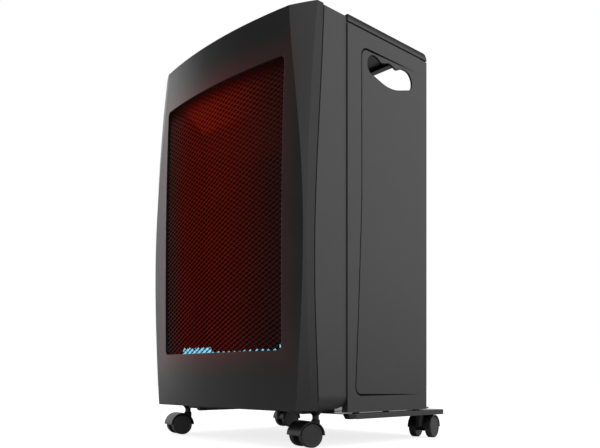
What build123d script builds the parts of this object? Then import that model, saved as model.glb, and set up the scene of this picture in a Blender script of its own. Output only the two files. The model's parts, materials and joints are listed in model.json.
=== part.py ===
from build123d import *
import os
from math import sqrt

# Portable gas cabinet heater, in millimetres. X runs to the right as seen from the
# front, Y to the back, Z up. The origin is on the floor under the middle of the footprint.

# ---------------------------------------------------------------- overall sizes
cabinet_width = 450.0
cabinet_height = 735.0
module_depth = 118.0        # front part: crown of the fascia to the back of its housing
crown_cut = 1.36            # the grille's opening takes this much off the crown
sleeve_lap = 3.0            # the rear sleeve laps this far over the front part
sleeve_depth = 222.0
tray_overhang = 59.0        # how far the bottle tray sticks out behind the sleeve

# ---------------------------------------------------------------- walls and clearances
sheet = 1.2                 # sheet steel of the sleeve, the tray and the inner plates
fascia_wall = 2.2
housing_wall = 1.5
seam_gap = 1.8              # open seam between fascia and front housing
slip_gap = 0.3              # between pieces that pass each other without touching
running_gap = 0.05          # radial, round every shaft and pin
screw_radius = 2.0
screw_head_radius = 4.0
screw_head_height = 2.2
fascia_screw_side = 75.0    # side of the cabinet to the fascia's outer screws
fascia_screw_in = 3.5       # seam to the fascia's screws
fascia_screw_length = 9.0
panel_screw_length = 7.0
tray_screw_length = 8.0

# ---------------------------------------------------------------- casters
wheel_radius = 20.0
wheel_width = 13.0
wheel_cap = 3.0             # closed outer end of each wheel's bore
caster_width = 47.0
hood_gap = 1.4
hood_wall = 2.6
caster_offset = 19.0        # stem axis to wheel axis
stem_boss_radius = 7.5
stem_pin_radius = 4.0
stem_neck_radius = 5.7
stem_top_radius = 11.75
axle_radius = 3.0
axle_boss_radius = 8.0
hub_radius = 7.0
web_width = 9.0
swivel_clearance = 0.5
nut_height = 3.2
nut_across = 13.0
front_caster_side = 34.5    # stem axis in from the cabinet's side
front_caster_back = 72.4    # stem axis behind the crown of the fascia
rear_caster_side = 20.0
rear_caster_in = 54.0       # stem axis ahead of the tray's rear edge
front_caster_turn = -15.0   # degrees about the stem, zero has the wheels ahead of it
rear_caster_turn = 192.0

# ---------------------------------------------------------------- heights
tray_height = 9.5
foot_gap = 2.5              # tray to the sleeve's side panels
module_rise = 7.0           # tray to the front housing
fascia_rise = 1.0           # front housing to the fascia, at the bottom
fascia_drop = 3.0           # top cover to the fascia, at the top
housing_drop = 4.0          # top cover to the front housing
cover_depth = 12.3
shadow_gap = 2.4            # dark groove under the top cover

# ---------------------------------------------------------------- fascia
# Stations evenly spaced from bottom to top. Each row: crease in from the side,
# then behind the foremost point of the fascia: crown, crease, end of the wing.
fascia_stations = (
    (19.4, 3.0, 12.0, 29.0),
    (9.8, 1.2, 12.3, 21.7),
    (4.0, 0.2, 13.0, 18.3),
    (4.5, 0.0, 14.1, 18.7),
    (13.7, 0.5, 15.6, 22.9),
    (29.7, 1.9, 17.5, 31.0),
    (43.5, 4.0, 20.0, 43.0),
)
wing_bulge = 0.012          # height of the wing's arc, as a share of its chord
bottom_roll = 25.0          # radius of the rolled lower edges of the front part
lip_reach = 7.0             # how far the housing's lip runs in under the fascia
lip_root = 4.0
seam_back = (44.5, 40.6, 35.4, 44.1, 57.0)   # behind the foremost point, bottom to top
seam_share = (0.0, 0.124, 0.4, 0.684, 1.0)   # heights of those, as shares of the fascia's

# ---------------------------------------------------------------- grille
opening_side = 50.0         # side of the cabinet to the opening
opening_drop = 81.0         # top of the fascia to the opening
opening_rise = 100.0        # bottom of the fascia to the opening
opening_corner = 9.0
rim_depth = 6.0
rim_wall = 2.2
mesh_thickness = 1.5
mesh_lap = 9.0              # how far the mesh runs past the opening
mesh_pitch_x = 50.0         # one diamond and its strand, across
mesh_pitch_z = 26.0
strand = 4.0
frame_width = 14.0
frame_lap = 1.0             # frame's inner edge beyond the opening

# ---------------------------------------------------------------- chamber
chamber_margin = 1.0        # chamber wider than the opening, each side
chamber_back_gap = 7.0      # rear wall ahead of the back of the front housing
chamber_floor_rise = 38.0   # bottom of the fascia to the chamber floor
ceiling_back_drop = 106.0   # top cover to the ceiling, at the rear wall
ceiling_front_drop = 74.0   # and at its front edge
ceiling_reach = 68.0        # front edge of the ceiling ahead of the rear wall
back_window_margin = 22.0   # frame round the opening in the housing's rear wall
back_window_drop = 30.0     # top of the front housing to that opening
bulkhead_lap = 10.0
leg_inset = 6.0             # legs of the side walls ahead of the base plate's rear edge
leg_width = 28.0

# ---------------------------------------------------------------- burner and pilot
burner_left_gap = 48.0      # left wall of the chamber to the burner
burner_right_gap = 36.0
burner_width = 24.0
burner_height = 22.0
burner_wall = 1.5
burner_front_gap = 36.0     # crown of the fascia to the burner's front face
burner_rise = 27.0          # chamber floor to the burner
port_pitch = 16.5
port_length = 10.0
port_width = 1.6
saddle_width = 14.0
saddle_inset = 40.0
saddle_grip = 8.0           # how far the saddles reach up the burner's sides
injector_length = 22.0
injector_radius = 6.0
injector_spud = 4.0         # length and radius of the spud in the burner's end
injector_jet = 0.8
injector_seat = 6.0         # how far the main pipe goes into it
pilot_gap = 13.0            # left wall of the chamber to the plate that holds the pilot
pilot_plate_depth = 34.0
pilot_plate_height = 50.0
pilot_rise = 35.0           # chamber floor to the pilot parts' common axis height
pilot_spacing = 9.5
pilot_body_radius = 3.2
pilot_jet = 0.6
pilot_nose = 24.0           # pilot burner, past the plate
pilot_collar = 4.0
pilot_tail = 12.0           # pilot burner, behind the plate
pilot_seat = 6.0            # how far the pilot pipe goes into it
probe_body = (-8.0, 14.0)   # thermocouple body, from behind the plate to past it
probe_tip = 26.0
spark_body = (-10.0, 12.0)
spark_tip = 24.0
spark_pin_radius = 1.0

# ---------------------------------------------------------------- pipes and leads
main_pipe_radius = 3.5
small_pipe_radius = 2.0
lead_radius = 1.6
pipe_bend = 14.0
small_bend = 10.0
pipe_run_side = 25.0        # side of the cabinet to the pipes that go up beside the chamber
lead_step = 7.0             # between neighbouring risers, across
pipe_hole_gap = 1.5
lead_drop = 14.0            # foot of the igniter to the lead's level run
last_bend = 8.0             # where the lead turns up into the igniter

# ---------------------------------------------------------------- controls
knob_side = 105.0           # right side of the cabinet to the knob's axis
knob_radius = 17.0
knob_press = 4.0
knob_wall = 2.5
knob_grip_width = 9.0
knob_grip_depth = 5.0
spindle_radius = 3.5
spindle_flat = 2.4          # axis to the flat
plug_radius = 6.5
plug_height = 20.0
neck_rise = 10.0            # plug's neck above the floor of the recess, inside the knob
neck_hole_gap = 1.0
recess_left_reach = 90.0    # knob's axis to the ends of the recess
recess_right_reach = 32.0
recess_front_gap = 9.0      # seam at the top to the recess
recess_back_gap = 7.0       # recess to the sleeve's front edge
recess_depth = 17.8
recess_rim = 4.5
button_spacing = 58.0       # knob's axis to the button's
button_radius = 5.5
button_rise = 9.0
button_travel = 5.0
piezo_radius = 9.0
piezo_length = 34.0
collar_radius = 11.5
collar_height = 2.0
valve_width = 40.0
valve_depth = 26.0
valve_height = 26.0
valve_drop = 8.5            # recess floor to the top of the valve
valve_port_drop = 14.0      # top of the valve to its ports
valve_port_x = 9.0          # small ports on the front face, either side of the knob's axis
valve_corner = 4.0
nozzle_radius = 4.5
nozzle_length = 26.0
nozzle_root_radius = 7.0
nozzle_bore = 2.2
nozzle_nut_radius = 9.0
nozzle_nut_height = 9.0
nozzle_neck = 6.0           # nut to the first barb
barb_count = 3
barb_pitch = 5.0
barb_height = 1.0
vent_count = 12
vent_pitch = 15.0
vent_width = 6.0
vent_side = 38.0            # left side of the cabinet to the first vent

# ---------------------------------------------------------------- sleeve
flange = 15.0
rear_flange = 20.0
strip_height = 16.5         # strip inside each side panel that carries the cover
strip_front_gap = 6.0
strip_back_gap = 19.0
cover_roll = 11.0
cover_lip_gap = 0.3
notch_side = 30.0           # side of the cabinet to the notch in the cover's rear edge
notch_depth = 8.0
rail_height = 7.0
rail_lip = 14.0
crossbar_height = 2.5
crossbar_depth = 20.0
crossbar_overhang = 10.0
spacer_radius = 6.0

# Handle hole: corners behind the sleeve's front edge and below the top of the cabinet,
# with three finger grips along its upper edge
handle_corners = (
    (53.0, 49.5), (76.0, 49.5), (90.0, 57.0), (112.0, 50.0), (131.5, 56.5), (147.0, 49.2),
    (177.0, 49.5), (177.0, 80.0), (115.0, 98.0), (53.0, 80.0))
handle_radii = (17.0, 15.0, 10.0, 15.0, 10.0, 15.0, 20.0, 12.0, 90.0, 14.0)
handle_rim = 2.5
# Pressed field: its front edge behind the sleeve's, and shares of the field's height
field_front = ((35.0, 1.0), (35.5, 0.5585), (28.0, 0.2718), (19.0, 0.0))
field_radii = (16.0, 900.0, 3000.0, 15.0, 15.0, 16.0)
field_back_gap = 19.0       # field to the sleeve's rear edge
field_drop = 43.0           # top of the cabinet to the field
field_rise = 28.5           # foot of the side panel to the field
field_depth = 1.4
field_slope = 3.0           # width of the pressing's sloped edge

# ---------------------------------------------------------------- tray
tray_front_lap = 2.0        # tray's front edge behind the back of the front part
tray_corner = 6.0
stand_width = 280.0         # raised stand for the bottle
stand_front_gap = 40.0      # tray's front edge to the stand
stand_back_gap = 20.0
stand_rise = 1.2
stand_corner = 20.0
cap_length = 17.0
cap_width = 12.0
cap_nose = 3.5
bracket_side = 55.0         # side of the cabinet to the brackets
bracket_width = 35.0
bracket_front = 30.0        # how far the brackets run in under the front housing
bracket_back = 20.0

# ---------------------------------------------------------------- places that follow
half_width = cabinet_width / 2
overall_depth = module_depth - crown_cut - sleeve_lap + sleeve_depth + tray_overhang
front_y = -overall_depth / 2 - crown_cut
module_back = front_y + module_depth
sleeve_front = module_back - sleeve_lap
sleeve_back = sleeve_front + sleeve_depth
tray_back = sleeve_back + tray_overhang
tray_front = module_back + tray_front_lap

hood_radius = wheel_radius + hood_gap + hood_wall
caster_top = wheel_radius + hood_radius
tray_bottom = caster_top + swivel_clearance
tray_top = tray_bottom + tray_height
panel_bottom = tray_top + foot_gap
panel_top = cabinet_height - cover_depth - shadow_gap
housing_bottom = tray_top + module_rise
housing_top = cabinet_height - housing_drop
housing_half_width = half_width - 2.0
fascia_bottom = housing_bottom + fascia_rise
fascia_top = cabinet_height - fascia_drop
fascia_height = fascia_top - fascia_bottom

opening_bottom = fascia_bottom + opening_rise
opening_top = fascia_top - opening_drop
opening_height = opening_top - opening_bottom
opening_half = half_width - opening_side
chamber_half_width = opening_half + chamber_margin

front_caster_x = half_width - front_caster_side
rear_caster_x = half_width - rear_caster_side

back_wall = module_back - chamber_back_gap
floor_top = fascia_bottom + chamber_floor_rise
base_top = housing_bottom + housing_wall + 2.0

burner_left = burner_left_gap - chamber_half_width
burner_right = chamber_half_width - burner_right_gap
pilot_x = pilot_gap - chamber_half_width
pipe_run_x = half_width - pipe_run_side
burner_front = front_y + burner_front_gap
burner_back = burner_front + burner_width
burner_bottom = floor_top + burner_rise
burner_top = burner_bottom + burner_height
burner_axis_y = (burner_front + burner_back) / 2
injector_z = (burner_bottom + burner_top) / 2
pilot_z = floor_top + pilot_rise

knob_x = half_width - knob_side
button_x = knob_x - button_spacing
recess_left = knob_x - recess_left_reach
recess_right = knob_x + recess_right_reach
recess_front = front_y + seam_back[-1] + recess_front_gap
recess_back = sleeve_front - recess_back_gap
recess_floor = housing_top - recess_depth
knob_y = (recess_front + recess_back) / 2
knob_bottom = recess_floor + knob_press + slip_gap
knob_top = cabinet_height - 0.6
valve_top = recess_floor - sheet - valve_drop
valve_bottom = valve_top - valve_height
port_z = valve_top - valve_port_drop


# ---------------------------------------------------------------- helpers
def block(x0, x1, y0, y1, z0, z1):
    middle = Pos((x0 + x1) / 2, (y0 + y1) / 2, (z0 + z1) / 2)
    return middle * Box(abs(x1 - x0), abs(y1 - y0), abs(z1 - z0))


def rod(radius, start, end):
    start, end = Vector(*start), Vector(*end)
    along = end - start
    return Solid.make_cylinder(radius, along.length, Plane(start, z_dir=along))


def outline(points, radii):
    return make_face(FilletPolyline(*points, radius=radii, close=True))


# The outline is drawn in Y and Z, and runs from x0 to x1
def across(face, x0, x1):
    return extrude(Plane.YZ.offset(x0) * face, x1 - x0)


# The outline is drawn in X and Z, and runs from y0 to y1
def lengthwise(face, y0, y1):
    return extrude(Plane.XZ.offset(-y0) * face, y0 - y1)


# The outline is drawn in X and Y, and runs from z0 to z1
def upright(face, z0, z1):
    return extrude(Plane.XY.offset(z0) * face, z1 - z0)


# A closed profile of (radius, height) points turned round the axis of a plane
def turned(points, plane=Plane.XY):
    profile = Plane.XZ * make_face(Polyline(*points, close=True))
    return plane.location * revolve(profile, Axis.Z)


def both_sides(shape):
    return [shape, mirror(shape, Plane.YZ)]


def tube(radius, points, radii):
    path = FilletPolyline(*points, radius=radii)
    return sweep(Plane(path @ 0, z_dir=path % 0) * Circle(radius), path)


# Pan head screw: the head stands on the point, the shank runs along the direction
def screw(point, direction, length):
    point, direction = Vector(*point), Vector(*direction)
    head = Solid.make_cylinder(
        screw_head_radius, screw_head_height, Plane(point, z_dir=direction * -1))
    shank = Solid.make_cylinder(screw_radius, length, Plane(point, z_dir=direction))
    rounded = fillet(head.edges().sort_by_distance(point)[-1:], 1.0)
    return rounded + shank


def screw_hole(point, direction, length):
    point, direction = Vector(*point), Vector(*direction)
    start = point - direction * 0.5
    return Solid.make_cylinder(screw_radius, length + 1, Plane(start, z_dir=direction))


def save(name, *shapes):
    solids = [solid for shape in shapes for solid in shape.solids()]
    whole = solids[0] if len(solids) == 1 else Compound(children=solids)
    export_step(whole, f"parts/{name}.step")


# ---------------------------------------------------------------- shell of the front part
# Corner of a wall moved inward by 1 mm, between faces with these outward normals
def inward(first, second):
    return (first + second) * (-1 / (1 + first.dot(second)))


def fascia_section(row, height, inset, back):
    side_in, crown_back, crease_back, wing_back = row
    crown = Vector(0, front_y + crown_back)
    crease = Vector(half_width - side_in, front_y + crease_back)
    wing = Vector(half_width, front_y + wing_back)
    sag = crease.Y - crown.Y
    bow_radius = (crease.X ** 2 + sag ** 2) / (2 * sag)
    front_normal = Vector(crease.X / bow_radius, -sqrt(1 - (crease.X / bow_radius) ** 2))
    chord = wing - crease
    wing_normal = Vector(chord.Y, -chord.X).normalized()
    bulge = wing_normal * (chord.length * wing_bulge)
    crown += Vector(0, inset)
    crease += inward(front_normal, wing_normal) * inset
    wing += inward(wing_normal, Vector(1, 0)) * inset
    middle = (crease + wing) * 0.5 + bulge
    lift = Vector(0, 0, height)
    right = [point + lift for point in (crease, middle, wing, Vector(wing.X, back))]
    left = [Vector(-point.X, point.Y, point.Z) for point in right]
    return Wire([
        ThreePointArc(left[0], crown + lift, right[0]).edge(),
        ThreePointArc(right[0], right[1], right[2]).edge(),
        Line(right[2], right[3]).edge(),
        Line(right[3], left[3]).edge(),
        Line(left[3], left[2]).edge(),
        ThreePointArc(left[2], left[1], left[0]).edge(),
    ])


# Cross-section of the front part with its rolled lower edges, in X and Z
def rolled(half, bottom, top, roll):
    points = ((-half, top), (-half, bottom), (half, bottom), (half, top))
    return outline(points, (0, roll, roll, 0))


# The fascia's outer shape as a solid, every face moved inward by the inset
def fascia_body(inset, back):
    last = len(fascia_stations) - 1
    sections = []
    for index, row in enumerate(fascia_stations):
        height = fascia_bottom + fascia_height * index / last
        height = min(max(height, fascia_bottom + inset), fascia_top - inset)
        sections.append(fascia_section(row, height, inset, back))
    body = Solid.make_loft(sections)
    sides = rolled(half_width - inset, fascia_bottom + inset, fascia_top + 10, bottom_roll - inset)
    return body & lengthwise(sides, front_y - 10, back + 1)


# Everything behind the seam, with the seam moved back by the shift
def behind_seam(shift):
    points = [
        (front_y + back + shift, fascia_bottom + share * fascia_height)
        for back, share in zip(seam_back, seam_share)
    ]
    below = (points[0][0], fascia_bottom - 30)
    above = (points[-1][0], fascia_top + 30)
    edge = [Line(below, points[0]), Spline(*points), Line(points[-1], above)]
    far = [Polyline(above, (sleeve_back, above[1]), (sleeve_back, below[1]), below)]
    return across(make_face(edge + far), -half_width - 10, half_width + 10)


# Everything behind the fascia's front face moved back by the depth, between two sides
def behind_front(depth, half):
    last = len(fascia_stations) - 1
    back = back_of_fascia + 60
    sections = []
    for index, (side_in, crown_back, crease_back, _) in enumerate(fascia_stations):
        sag = crease_back - crown_back
        bow_radius = ((half_width - side_in) ** 2 + sag ** 2) / (2 * sag)
        crown = front_y + crown_back + depth
        side = crown + bow_radius - sqrt(bow_radius ** 2 - half ** 2)
        height = fascia_bottom + fascia_height * index / last
        points = [(-half, side), (0, crown), (half, side), (half, back), (-half, back)]
        corners = [Vector(x, y, height) for x, y in points]
        sections.append(Wire([
            ThreePointArc(*corners[:3]).edge(),
            Line(corners[2], corners[3]).edge(),
            Line(corners[3], corners[4]).edge(),
            Line(corners[4], corners[0]).edge(),
        ]))
    return Solid.make_loft(sections)


def front_layer(depth, thickness):
    half = opening_half + frame_width
    return behind_front(depth, half + 1) - behind_front(depth + thickness, half + 2)


def opening_prism(grow, y0, y1):
    width = 2 * (opening_half + grow)
    tall = opening_height + 2 * grow
    middle = Pos(0, (opening_bottom + opening_top) / 2)
    corner = opening_corner + max(grow, 0)
    return lengthwise(middle * RectangleRounded(width, tall, corner), y0, y1)


back_of_fascia = front_y + max(seam_back) + 14
ahead = front_y - 20


def make_fascia(screws):
    outer = fascia_body(0, back_of_fascia)
    shell = outer - fascia_body(fascia_wall, back_of_fascia + 5)
    rim = (outer & opening_prism(rim_wall, ahead, back_of_fascia - 20)) - behind_front(
        rim_depth, opening_half + frame_width)
    fascia = shell + rim - opening_prism(0, ahead, back_of_fascia)
    return fascia - behind_seam(0) - screws


def make_grille():
    front = rim_depth + slip_gap
    sheet_body = front_layer(front, mesh_thickness)
    half = opening_half + mesh_lap
    tall = opening_height + 2 * mesh_lap
    columns = int(2 * opening_half / (mesh_pitch_x / 2)) - 1
    rows = int(opening_height / mesh_pitch_z)
    holes = []
    for column in range(-(columns // 2), columns // 2 + 1):
        shift = 0.5 * (column % 2)
        for row in range(rows):
            x = column * mesh_pitch_x / 2
            z = opening_bottom + (row + 0.5 + shift) * opening_height / (rows + 0.5)
            holes.append(diamond(x, z))
    border = [(-half, 0), (half, 0), (half, tall), (-half, tall)]
    low = opening_bottom - mesh_lap
    net = Face(
        Wire.make_polygon([(x, z + low) for x, z in border]), holes)
    return sheet_body & lengthwise(net, ahead, back_of_fascia - 20)


def diamond(x, z):
    # A strand's width taken off each side leaves this much of the pitch
    slant = sqrt(mesh_pitch_x ** 2 + mesh_pitch_z ** 2) / 2
    across_half = mesh_pitch_x / 2 - strand * slant / mesh_pitch_z
    up_half = mesh_pitch_z / 2 - strand * slant / mesh_pitch_x
    return Wire.make_polygon(
        [(x - across_half, z), (x, z - up_half), (x + across_half, z), (x, z + up_half)])


def make_grille_frame():
    front = rim_depth + slip_gap + mesh_thickness
    ring = opening_prism(frame_width, ahead, back_of_fascia - 20)
    ring -= opening_prism(frame_lap, ahead, back_of_fascia - 20)
    return front_layer(front, sheet) & ring


def make_front_housing(screws):
    outer = housing_solid(0)
    inner = housing_solid(housing_wall)
    shell = (outer - inner) & behind_seam(seam_gap)
    lip_half = half_width - fascia_wall - slip_gap
    lip_top = fascia_top - fascia_wall - slip_gap
    lip_outer = block(-lip_half, lip_half, front_y, module_back, floor_top, lip_top)
    lip_inner = block(
        housing_wall - lip_half, lip_half - housing_wall,
        front_y, module_back, floor_top, lip_top - housing_wall)
    lip = (lip_outer - lip_inner) & behind_seam(seam_gap - lip_reach)
    lip -= behind_seam(seam_gap + lip_root)
    window = block(
        back_window_margin - housing_half_width, housing_half_width - back_window_margin,
        module_back - 5, module_back + 5,
        floor_top, housing_top - back_window_drop)
    housing = shell + lip - window - recess_hole() - screws
    for index in range(vent_count):
        x = vent_side - half_width + index * vent_pitch
        slot = block(
            x, x + vent_width, recess_front, recess_back, housing_top - 9, housing_top + 1)
        housing -= slot
    for x in (-front_caster_x, front_caster_x):
        housing -= stem_hole(x, front_y + front_caster_back, housing_bottom)
    return housing


def housing_solid(inset):
    half = housing_half_width - inset
    bottom = housing_bottom + inset
    roll = bottom_roll - 1.0 - inset
    front = front_y + min(seam_back) - 10
    solid = block(
        -half, half, front, module_back - inset, bottom, housing_top - inset)
    low = solid.edges().group_by(Axis.Z)[0].sort_by(Axis.Y)[1:]
    return fillet(low, roll)


def recess_hole():
    return block(
        recess_left - sheet, recess_right + sheet, recess_front - sheet,
        recess_back + sheet, recess_floor - 5, housing_top + 5)


def stem_hole(x, y, z):
    return rod(stem_pin_radius, (x, y, z - 1), (x, y, z + 12))


# ---------------------------------------------------------------- inside the front part
def make_base_plate():
    back = module_back - housing_wall - bottom_roll
    plate = block(
        -housing_half_width + bottom_roll, housing_half_width - bottom_roll,
        back - 40, back, housing_bottom + housing_wall, base_top)
    for x in (-front_caster_x, front_caster_x):
        plate -= stem_hole(x, front_y + front_caster_back, housing_bottom)
    return plate


def make_bulkhead(screws):
    half = housing_half_width - back_window_margin + bulkhead_lap
    back = module_back - housing_wall
    plate = block(
        -half, half, back - sheet, back,
        floor_top - bulkhead_lap, housing_top - back_window_drop + bulkhead_lap)
    hole = rod(nozzle_root_radius, (knob_x, back - 5, port_z), (knob_x, back + 5, port_z))
    return plate - hole - screws


def ceiling_line(y):
    share = (back_wall - y) / ceiling_reach
    back_z = cabinet_height - ceiling_back_drop
    return back_z + share * (ceiling_back_drop - ceiling_front_drop)


# Everything behind the grille frame
def behind_frame():
    depth = rim_depth + slip_gap + mesh_thickness + sheet
    return behind_front(depth, chamber_half_width + sheet + 5)


def chamber_profile():
    bend = back_wall - ceiling_reach
    leg_back = module_back - housing_wall - bottom_roll - leg_inset
    leg_front = leg_back - leg_width
    points = (
        (back_wall, floor_top - sheet), (leg_back, floor_top - sheet), (leg_back, base_top),
        (leg_front, base_top), (leg_front, floor_top - sheet), (ahead, floor_top - sheet),
        (ahead, ceiling_line(bend)), (bend, ceiling_line(bend)),
        (back_wall, ceiling_line(back_wall)))
    return outline(points, 0)


def make_chamber_wall(side):
    inner = side * chamber_half_width
    wall = across(chamber_profile(), min(inner, inner + side * sheet),
                  max(inner, inner + side * sheet))
    start, end = (inner - side * 5, inner + side * 5)
    for y, z, radius in wall_holes(side):
        wall -= rod(radius + pipe_hole_gap, (start, y, z), (end, y, z))
    return wall & behind_frame()


# Where pipes and leads go through each chamber wall
def wall_holes(side):
    if side > 0:
        return [(burner_axis_y, injector_z, main_pipe_radius)]
    return [
        (pilot_y(0), pilot_z, small_pipe_radius),
        (pilot_y(1), pilot_z, lead_radius),
        (pilot_y(-1), pilot_z, lead_radius),
    ]


def pilot_y(place):
    return burner_axis_y + place * pilot_spacing


def make_chamber_back():
    half = chamber_half_width + sheet
    back = back_wall + sheet
    return block(-half, half, back_wall, back, floor_top - sheet, ceiling_line(back))


def make_chamber_floor():
    front = back_wall - ceiling_reach
    return block(-chamber_half_width, chamber_half_width, front, back_wall,
                 floor_top - sheet, floor_top)


# Level behind the grille frame, then falling to the rear wall
def make_chamber_ceiling():
    bend = back_wall - ceiling_reach
    back = back_wall + sheet
    lower = [(back, ceiling_line(back)), (bend, ceiling_line(bend)), (ahead, ceiling_line(bend))]
    upper = [(y, z + sheet) for y, z in reversed(lower)]
    half = chamber_half_width + sheet
    return across(outline(lower + upper, 0), -half, half) & behind_frame()


# ---------------------------------------------------------------- burner
def make_burner_bar():
    bar = block(burner_left, burner_right, burner_front, burner_back, burner_bottom, burner_top)
    bar -= block(
        burner_left + burner_wall, burner_right - burner_wall,
        burner_front + burner_wall, burner_back - burner_wall,
        burner_bottom + burner_wall, burner_top - burner_wall)
    ports = int((burner_right - burner_left - port_pitch) / port_pitch)
    first = (burner_left + burner_right - (ports - 1) * port_pitch) / 2
    for index in range(ports):
        x = first + index * port_pitch
        for share in (-0.25, 0.25):
            y = burner_axis_y + share * burner_width
            bar -= block(
                x - port_length / 2, x + port_length / 2,
                y - port_width / 2, y + port_width / 2,
                burner_top - burner_wall - 1, burner_top + 1)
    return bar - rod(
        injector_spud, (burner_right - 5, burner_axis_y, injector_z),
        (burner_right + 5, burner_axis_y, injector_z))


def make_burner_saddles():
    saddles = []
    for x in (burner_left + saddle_inset, burner_right - saddle_inset):
        x0, x1 = x - saddle_width / 2, x + saddle_width / 2
        y0, y1 = burner_front - sheet, burner_back + sheet
        saddle = block(x0, x1, y0, y1, floor_top, burner_bottom + saddle_grip)
        saddle -= block(x0, x1, burner_front, burner_back, burner_bottom, burner_top)
        saddle -= block(
            x0, x1, burner_front, burner_back, floor_top, burner_bottom - sheet)
        saddles.append(saddle)
    return saddles


def make_gas_injector():
    plane = Plane((burner_right, burner_axis_y, injector_z), z_dir=(1, 0, 0))
    seat = injector_length - injector_seat
    profile = (
        (injector_jet, -injector_spud), (injector_spud, -injector_spud), (injector_spud, 0),
        (injector_radius, 0), (injector_radius, injector_length),
        (main_pipe_radius, injector_length), (main_pipe_radius, seat), (injector_jet, seat))
    return turned(profile, plane)


def make_pilot_bracket():
    y0 = burner_axis_y - pilot_plate_depth / 2
    y1 = burner_axis_y + pilot_plate_depth / 2
    plate = block(pilot_x, pilot_x + sheet, y0, y1, floor_top, floor_top + pilot_plate_height)
    foot = block(pilot_x, pilot_x + flange, y0, y1, floor_top, floor_top + sheet)
    bracket = plate + foot
    for place in (-1, 0, 1):
        y = pilot_y(place)
        bracket -= rod(pilot_body_radius, (pilot_x - 5, y, pilot_z), (pilot_x + 5, y, pilot_z))
    return bracket


def make_pilot_burner():
    plane = Plane((pilot_x, pilot_y(0), pilot_z), z_dir=(1, 0, 0))
    profile = (
        (pilot_jet, -pilot_seat), (pilot_jet, pilot_nose), (pilot_body_radius, pilot_nose),
        (pilot_body_radius, -pilot_collar), (pilot_body_radius + 1, -pilot_collar),
        (pilot_body_radius + 1, -pilot_tail), (small_pipe_radius, -pilot_tail),
        (small_pipe_radius, -pilot_seat))
    return turned(profile, plane)


# Thermocouple: its tip by the pilot flame, its lead up the left side to the valve
def make_thermocouple():
    y = pilot_y(1)
    tail, nose = (pilot_x + reach for reach in probe_body)
    tip = rod(pilot_body_radius, (tail, y, pilot_z), (nose, y, pilot_z))
    tip += rod(lead_radius, (nose, y, pilot_z), (pilot_x + probe_tip, y, pilot_z))
    run = -pipe_run_x - lead_step
    top = port_z + lead_step
    back = knob_y - valve_depth / 2
    lead = tube(lead_radius, (
        (tail, y, pilot_z), (run, y, pilot_z), (run, y, top),
        (knob_x - valve_port_x, y, top), (knob_x - valve_port_x, back, top)), small_bend)
    return tip + lead


def make_spark_electrode():
    y = pilot_y(-1)
    tail, nose = (pilot_x + reach for reach in spark_body)
    ceramic = rod(pilot_body_radius, (tail, y, pilot_z), (nose, y, pilot_z))
    return ceramic + rod(
        spark_pin_radius, (nose, y, pilot_z), (pilot_x + spark_tip, y, pilot_z))


def make_spark_lead():
    y = pilot_y(-1)
    run = -pipe_run_x + lead_step
    bottom = piezo_bottom() - lead_drop
    return tube(lead_radius, (
        (pilot_x + spark_body[0], y, pilot_z), (run, y, pilot_z), (run, y, bottom),
        (button_x, y, bottom), (button_x, knob_y, bottom),
        (button_x, knob_y, piezo_bottom())), (small_bend, small_bend, small_bend, last_bend))


def make_pilot_pipe():
    y = pilot_y(0)
    x = knob_x + valve_port_x
    return tube(small_pipe_radius, (
        (pilot_x - pilot_seat, y, pilot_z), (-pipe_run_x, y, pilot_z), (-pipe_run_x, y, port_z),
        (x, y, port_z), (x, knob_y - valve_depth / 2, port_z)), small_bend)


def make_main_gas_pipe():
    y = burner_axis_y
    start = burner_right + injector_length - injector_seat
    return tube(main_pipe_radius, (
        (start, y, injector_z), (pipe_run_x, y, injector_z), (pipe_run_x, y, port_z),
        (pipe_run_x, knob_y, port_z), (knob_x + valve_width / 2, knob_y, port_z)),
        pipe_bend)


# ---------------------------------------------------------------- controls
def make_gas_valve():
    x0, x1 = knob_x - valve_width / 2, knob_x + valve_width / 2
    y0, y1 = knob_y - valve_depth / 2, knob_y + valve_depth / 2
    body = block(x0, x1, y0, y1, valve_bottom, valve_top)
    body = fillet(body.edges().filter_by(Axis.Z), valve_corner)
    bore = rod(plug_radius + running_gap, (knob_x, knob_y, valve_top - plug_height),
               (knob_x, knob_y, valve_top + 1))
    return body - bore


def make_valve_bracket():
    top = recess_floor - sheet
    y0, y1 = knob_y - valve_depth / 2, knob_y + valve_depth / 2
    outer = valve_width / 2
    plate = block(knob_x - outer, knob_x + outer, y0, y1, valve_top, valve_top + sheet)
    plate -= rod(plug_radius + 2, (knob_x, knob_y, valve_top - 1), (knob_x, knob_y, top))
    legs = [
        block(knob_x + s * outer, knob_x + s * (outer - sheet), y0, y1, valve_top, top)
        for s in (-1, 1)]
    return plate + legs


# The valve's plug turns in its bore. Its neck comes up through the recess into the knob,
# and holds the spindle in a flat-sided socket
def make_valve_plug():
    bottom = valve_top - plug_height + slip_gap
    top = recess_floor + neck_rise
    plug = rod(plug_radius, (knob_x, knob_y, bottom), (knob_x, knob_y, top))
    socket = rod(
        spindle_radius + running_gap, (knob_x, knob_y, recess_floor + slip_gap),
        (knob_x, knob_y, top + 1))
    return plug - (socket - spindle_cut(spindle_flat + running_gap, bottom, top + 1))


# Everything ahead of the spindle's flat
def spindle_cut(depth, z0, z1):
    return block(
        knob_x - plug_radius, knob_x + plug_radius, knob_y - plug_radius, knob_y - depth, z0, z1)


def spindle_bottom():
    return recess_floor + knob_press + 2 * slip_gap


def make_valve_spindle():
    spindle = rod(spindle_radius, (knob_x, knob_y, spindle_bottom()),
                  (knob_x, knob_y, knob_top - knob_wall))
    return spindle - spindle_cut(spindle_flat, spindle_bottom(), knob_top)


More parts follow.
